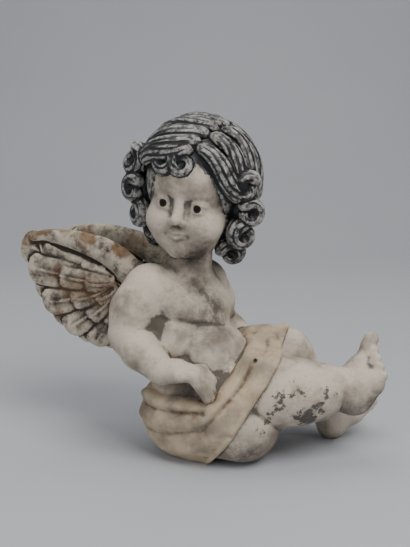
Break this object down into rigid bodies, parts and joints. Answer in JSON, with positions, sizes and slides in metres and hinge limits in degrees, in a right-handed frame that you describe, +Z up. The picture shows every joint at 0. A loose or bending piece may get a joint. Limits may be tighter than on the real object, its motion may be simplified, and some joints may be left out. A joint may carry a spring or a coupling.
{
  "type": "seated putto statue",
  "caption": "Seated winged child statue with curly hair and a band of drapery, legs stretched to one side, resting on its flat-cut seat.",
  "frame": {"origin": "middle of the flat underside of the seat", "axes": "+Z up; +X towards the outstretched legs; -Y towards the figure's right side, the side of the shown view"},
  "size_m": [0.4103, 0.1978, 0.3704],
  "materials": {
    "painted_stone": "aged chalky paint over stone, worn through in places"
  },
  "bodies": {
    "root": {"putto_statue": "painted_stone"}
  },
  "joints": []
}
